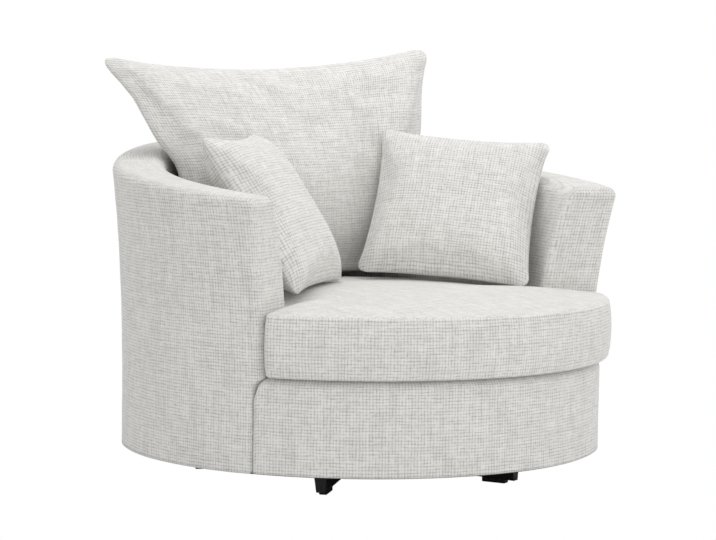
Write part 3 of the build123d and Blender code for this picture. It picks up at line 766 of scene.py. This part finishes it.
# Back cushion, level by level: share of the height, half width, y at the side seams,
# y behind and y in front in the middle
BACK_LEVELS = (
    (0.00, 0.334, 0.222, 0.340, 0.212),
    (0.14, 0.352, 0.222, 0.372, 0.190),
    (0.32, 0.366, 0.226, 0.396, 0.188),
    (0.48, 0.372, 0.236, 0.412, 0.200),
    (0.62, 0.416, 0.266, 0.428, 0.238),
    (0.80, 0.456, 0.310, 0.430, 0.296),
    (0.92, 0.492, 0.345, 0.440, 0.330),
    (1.00, 0.517, 0.366, 0.456, 0.340),
)
BACK_FOOT = 0.4225      # height of its lower seam
BACK_BLUNT = 0.13       # rounding of its corners, as a share of half a side
BACK_FULLNESS = 0.7     # the lower, the fuller towards the side seams
TOP_TAPER = 0.16        # share of the height over which it thins out to its upper seam
FOOT_TAPER = 0.022      # and to its lower seam
TOP_DIP = 0.048         # upper seam lower in the middle
CORNER_LIFT = 0.003     # upper corners raised
CORNER_TILT = 0.018     # and the right one more than the left
CREASE = (0.010, 0.10, 3.0)   # depth, length and seed of the folds
CREASE_RUN = (0.5, 0.12, 2.2)  # how the folds run: across, slant and up
CREASE_START = 0.35     # share of the height where the folds begin
DENT_DEPTH = 0.030      # dents where the scatter cushions lean
DENT_ACROSS = 0.215
DENT_HEIGHT = 0.70
DENT_SPREAD = 0.12
BACK_CLOTH = (0.49, 0.29)     # half the cloth's width and height


def along(levels, share, column):
    """Smooth curve through one column of a table of levels."""
    for i in range(len(levels) - 1):
        if share <= levels[i + 1][0]:
            break
    p0, p1, p2, p3 = (levels[max(0, min(len(levels) - 1, i + k))] for k in (-1, 0, 1, 2))
    s = (share - p1[0]) / (p2[0] - p1[0])
    m1 = (p2[column] - p0[column]) / max(1e-6, p2[0] - p0[0]) * (p2[0] - p1[0])
    m2 = (p3[column] - p1[column]) / max(1e-6, p3[0] - p1[0]) * (p2[0] - p1[0])
    return ((2 * s ** 3 - 3 * s ** 2 + 1) * p1[column] + (s ** 3 - 2 * s ** 2 + s) * m1
            + (3 * s ** 2 - 2 * s ** 3) * p2[column] + (s ** 3 - s ** 2) * m2)


def back_place(column, row, side):
    """Place and UV of a point of the back cushion."""
    u, v = blunt(column, row, BACK_BLUNT)
    share = (v + 1) / 2
    half, ends, behind, before = (along(BACK_LEVELS, share, k) for k in (1, 2, 3, 4))
    mid = (behind + before) / 2
    thick = (behind - before) / 2
    lens = max(0.0, 1 - abs(column) ** LENS_POWER) ** BACK_FULLNESS
    edge = 1.0
    rise = (row + 1) / 2
    if rise > 1 - TOP_TAPER:
        edge = math.sqrt(max(0.0, 1 - ((rise - (1 - TOP_TAPER)) / TOP_TAPER) ** 2))
    elif rise < FOOT_TAPER:
        edge = math.sqrt(max(0.0, 1 - ((FOOT_TAPER - rise) / FOOT_TAPER) ** 2))
    spine = ends + (mid - ends) * (1 - u * u)
    height = BACK_FOOT + share * (cushions().back_rise - BACK_FOOT)
    height -= TOP_DIP * (1 - u * u) * share ** 3
    height += (CORNER_TILT * u + CORNER_LIFT) * share ** 4
    depth, length, seed = CREASE
    across, slant, up = CREASE_RUN
    crease = ripple(Vector((u * across + v * slant, height * up, side)), length, seed)
    fold = depth * crease * lens * edge * max(0.0, min(1.0, (share - CREASE_START) * FADE_IN))
    y = spine - side * (thick * lens * edge + fold)
    if side > 0:
        press = math.exp(-((abs(u * half) - DENT_ACROSS) / DENT_SPREAD) ** 2
                         - ((height - DENT_HEIGHT) / DENT_SPREAD) ** 2)
        y += DENT_DEPTH * press * lens * edge
    return Vector((u * half, y, height)), (u * BACK_CLOTH[0], v * BACK_CLOTH[1])


class ARMCHAIR_OT_back_cushion(bpy.types.Operator):
    """Large loose back cushion with pointed corners"""
    bl_idname = "armchair.back_cushion"
    bl_label = "Back cushion"

    def execute(self, context):
        obj = pillow_mesh("back_cushion", columns=96, rows=60, place=back_place)
        swell(obj, pressure=2.5, cap=0.016)
        keep_inside_wall(obj, gap=0.004)
        subdivide(obj)
        dress(obj, "back_cushion_cover", "back_cushion_core")
        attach(obj, "back_cushion")
        return {"FINISHED"}


# Scatter cushions: side, turn, tilt, x and y of the middle, roll and seed, with angles in degrees
SCATTERS = (
    ("left", 38, 33, -0.2489, 0.0146, 0.0, 1.0),
    ("right", -46, 34, 0.2864, 0.0042, -4.6, 6.0),
)
SCATTER_SEAT = 0.4382   # height of the seat under them
SCATTER_LIFT = 0.0033   # half a seam's thickness, less what the seat falls off under them
SCATTER_BLUNT = 0.14    # rounding of their corners, as a share of half a side
SCATTER_FULLNESS = 0.56   # the lower, the fuller towards the seams
SIDE_REACH = 0.016      # corners past half the edge, sideways
SIDE_DRAW = 0.014       # side edges drawn in between the corners
END_REACH = 0.009       # corners past half the edge, up and down
TOP_DRAW = 0.014        # upper edge drawn in between the corners
FOOT_DRAW = 0.005       # and lower edge
SWELL_ROOM = 0.006      # thickness left on each side for the cloth to swell
SCATTER_RIPPLE = (0.004, 0.09)   # depth and length


class ARMCHAIR_OT_scatter_cushions(bpy.types.Operator):
    """Two scatter cushions that lean against the arms"""
    bl_idname = "armchair.scatter_cushions"
    bl_label = "Scatter cushions"

    def execute(self, context):
        c = cushions()
        half = c.scatter / 2
        depth, length = SCATTER_RIPPLE
        for name, turn, tilt, across, forward, roll, seed in SCATTERS:
            turn, tilt = math.radians(turn), math.radians(tilt)
            normal = Vector((math.sin(turn) * math.cos(tilt), -math.cos(turn) * math.cos(tilt), math.sin(tilt)))
            level = Vector((math.cos(turn), math.sin(turn), 0))
            level = Matrix.Rotation(math.radians(roll), 3, normal) @ level
            up = normal.cross(level)
            centre = Vector((across, forward, SCATTER_SEAT + half * math.cos(tilt) + SCATTER_LIFT))

            def place(column, row, side):
                """Place and UV of a point of this cushion."""
                u, v = blunt(column, row, SCATTER_BLUNT)
                full = (max(0.0, 1 - abs(column) ** LENS_POWER)
                        * max(0.0, 1 - abs(row) ** LENS_POWER)) ** SCATTER_FULLNESS
                x = u * (half + SIDE_REACH - SIDE_DRAW * (1 - v * v))
                y = v * (half + END_REACH - (TOP_DRAW if v > 0 else FOOT_DRAW) * (1 - u * u))
                z = side * (c.scatter_thick / 2 - SWELL_ROOM) * full
                z += side * full * depth * ripple(Vector((x, y, side)), length, seed)
                return centre + level * x + up * y + normal * z, (u * half, v * half)

            obj = pillow_mesh(name + "_scatter", columns=60, rows=60, place=place)
            swell(obj, pressure=3.5, cap=0.014)
            subdivide(obj)
            dress(obj, name + "_scatter_cover", name + "_scatter_core")
            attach(obj, name + "_scatter_cushion")
        return {"FINISHED"}


# Star base, swivel and hidden frame, by material slot:
# material, dark and light of its grain, roughness, metallic, grain per metre, bump
FINISHES = {
    "black_steel": ("black powder coat", (0.010, 0.010, 0.010), (0.018, 0.018, 0.018), 0.45, 0.0, 900.0, 0.0001),
    "black_plastic": ("black plastic", (0.012, 0.012, 0.012), (0.020, 0.020, 0.020), 0.55, 0.0, 600.0, 0.0001),
    "bright_steel": ("zinc plated steel", (0.52, 0.52, 0.53), (0.66, 0.66, 0.66), 0.35, 1.0, 300.0, 0.0),
    "plywood": ("plywood", (0.55, 0.38, 0.20), (0.68, 0.50, 0.30), 0.7, 0.0, 40.0, 0.0),
    "softwood": ("softwood", (0.62, 0.44, 0.24), (0.74, 0.57, 0.35), 0.7, 0.0, 30.0, 0.0),
    "fibreboard": ("fibreboard", (0.22, 0.13, 0.07), (0.30, 0.19, 0.11), 0.8, 0.0, 200.0, 0.0),
    "felt": ("felt", (0.14, 0.14, 0.14), (0.24, 0.24, 0.24), 0.95, 0.0, 400.0, 0.0005),
    "black_lining": ("black lining cloth", (0.010, 0.010, 0.010), (0.022, 0.022, 0.022), 0.9, 0.0, 700.0, 0.0003),
}


class ARMCHAIR_OT_base_finish(bpy.types.Operator):
    """Finishes of the star base, the swivel and the hidden frame"""
    bl_idname = "armchair.base_finish"
    bl_label = "Base and frame finishes"

    def execute(self, context):
        made = {slot: speckle_material(*finish) for slot, finish in FINISHES.items()}
        slots = {part["node"]: part["material_slot"] for part in frame["record"]["subparts"]}
        for node, obj in frame["nodes"].items():
            if slots[node] in made:
                obj.data.materials.clear()
                obj.data.materials.append(made[slots[node]])
        return {"FINISHED"}


# Stage

FLOOR_HALF = 14.0
ROOM_LIGHT = 0.75       # strength of the white surroundings on the chair
ROOM_SEEN = 1.0         # and as the camera and reflections see them
LAMP_AIM = (0, 0, 0.45)
LAMPS = (               # name, place, size and watts
    ("key", (-1.4, -3.8, 2.6), 2.8, 29),
    ("fill", (3.4, -2.6, 2.6), 2.8, 19),
    ("top", (0.2, 0.2, 4.2), 3.0, 52),
)
CAMERA_AIM = (0, 0, 0.4696)
CAMERA_TURN = math.radians(38.5)
CAMERA_RISE = math.radians(4.68)
CAMERA_ROLL = math.radians(0.72)
CAMERA_FAR = 5.793
CAMERA_LENS = 123.9     # millimetres, on a sensor 36 mm wide
CAMERA_SHIFT = -3.9 / 716


def white_floor():
    """Floor that takes no shadow where the camera sees it, and lights the chair from below."""
    bm = bmesh.new()
    bmesh.ops.create_grid(bm, x_segments=1, y_segments=1, size=FLOOR_HALF)
    floor = finish_mesh(bm, "floor")
    mat, nodes, links, shader = new_material("white floor", (0.8, 0.8, 0.8), 0.9)
    set_inputs(shader, {"Specular IOR Level": 0.0})
    glow = nodes.new("ShaderNodeEmission")
    pick = nodes.new("ShaderNodeMixShader")
    path = nodes.new("ShaderNodeLightPath")
    links.new(path.outputs["Is Camera Ray"], pick.inputs[0])
    links.new(shader.outputs[0], pick.inputs[1])
    links.new(glow.outputs[0], pick.inputs[2])
    links.new(pick.outputs[0], nodes["Material Output"].inputs["Surface"])
    floor.data.materials.append(mat)


def white_room(scene):
    """White surroundings, brighter to the camera and in reflections than as light."""
    world = bpy.data.worlds.new("studio")
    scene.world = world
    world.use_nodes = True
    nodes, links = world.node_tree.nodes, world.node_tree.links
    back = nodes["Background"]
    set_inputs(back, {"Color": (1, 1, 1, 1)})
    path = nodes.new("ShaderNodeLightPath")
    seen = nodes.new("ShaderNodeMath")
    seen.operation = "MAXIMUM"
    links.new(path.outputs["Is Camera Ray"], seen.inputs[0])
    links.new(path.outputs["Is Glossy Ray"], seen.inputs[1])
    level = nodes.new("ShaderNodeMapRange")
    set_inputs(level, {"To Min": ROOM_LIGHT, "To Max": ROOM_SEEN})
    links.new(seen.outputs[0], level.inputs["Value"])
    links.new(level.outputs[0], back.inputs["Strength"])


def add_lamp(scene, name, spot, size, power):
    """Square soft lamp that points at the chair."""
    lamp = bpy.data.lights.new(name, "AREA")
    lamp.size = size
    lamp.energy = power
    holder = bpy.data.objects.new(name, lamp)
    scene.collection.objects.link(holder)
    holder.location = spot
    holder.rotation_euler = (Vector(LAMP_AIM) - Vector(spot)).to_track_quat("-Z", "Y").to_euler()


def add_camera(scene):
    """Camera of the photograph."""
    camera = bpy.data.cameras.new("camera")
    camera.sensor_width = 36.0
    camera.lens = CAMERA_LENS
    camera.shift_x = CAMERA_SHIFT
    camera.clip_end = 60
    eye = bpy.data.objects.new("camera", camera)
    scene.collection.objects.link(eye)
    aim = Vector(CAMERA_AIM)
    level = math.cos(CAMERA_RISE)
    away = Vector((-level * math.sin(CAMERA_TURN), -level * math.cos(CAMERA_TURN), math.sin(CAMERA_RISE)))
    eye.location = aim + CAMERA_FAR * away
    look = (aim - eye.location).to_track_quat("-Z", "Y").to_matrix().to_4x4()
    eye.matrix_world = Matrix.Translation(eye.location) @ look @ Matrix.Rotation(CAMERA_ROLL, 4, "Z")
    scene.camera = eye


class ARMCHAIR_OT_stage(bpy.types.Operator):
    """White floor, soft studio light and the camera"""
    bl_idname = "armchair.stage"
    bl_label = "Stage"

    def execute(self, context):
        scene = context.scene
        scene.view_settings.view_transform = "Standard"
        white_floor()
        white_room(scene)
        for lamp in LAMPS:
            add_lamp(scene, *lamp)
        add_camera(scene)
        return {"FINISHED"}


class ARMCHAIR_PT_panel(bpy.types.Panel):
    """Lists the armchair's pieces"""
    bl_idname = "ARMCHAIR_PT_panel"
    bl_label = "Armchair"
    bl_space_type = "VIEW_3D"
    bl_region_type = "UI"
    bl_category = "Armchair"

    def draw(self, context):
        for piece in OPERATORS:
            self.layout.operator(piece.bl_idname)


OPERATORS = (ARMCHAIR_OT_shell, ARMCHAIR_OT_front_panel, ARMCHAIR_OT_seat_cushion, ARMCHAIR_OT_back_cushion,
             ARMCHAIR_OT_scatter_cushions, ARMCHAIR_OT_base_finish, ARMCHAIR_OT_stage)
GROUPS = (("armchair_tub", TubSizes), ("armchair_cushions", CushionSizes), ("armchair_fabric", FabricLook))


def register():
    for name, group in GROUPS:
        bpy.utils.register_class(group)
        setattr(bpy.types.Scene, name, PointerProperty(type=group))
    for piece in OPERATORS + (ARMCHAIR_PT_panel,):
        bpy.utils.register_class(piece)


def unregister():
    for piece in reversed(OPERATORS + (ARMCHAIR_PT_panel,)):
        bpy.utils.unregister_class(piece)
    for name, group in reversed(GROUPS):
        delattr(bpy.types.Scene, name)
        bpy.utils.unregister_class(group)


def main():
    register()
    bpy.ops.armchair.shell()
    bpy.ops.armchair.front_panel()
    bpy.ops.armchair.seat_cushion()
    bpy.ops.armchair.back_cushion()
    bpy.ops.armchair.scatter_cushions()
    bpy.ops.armchair.base_finish()
    bpy.ops.armchair.stage()


if __name__ == "__main__":
    main()
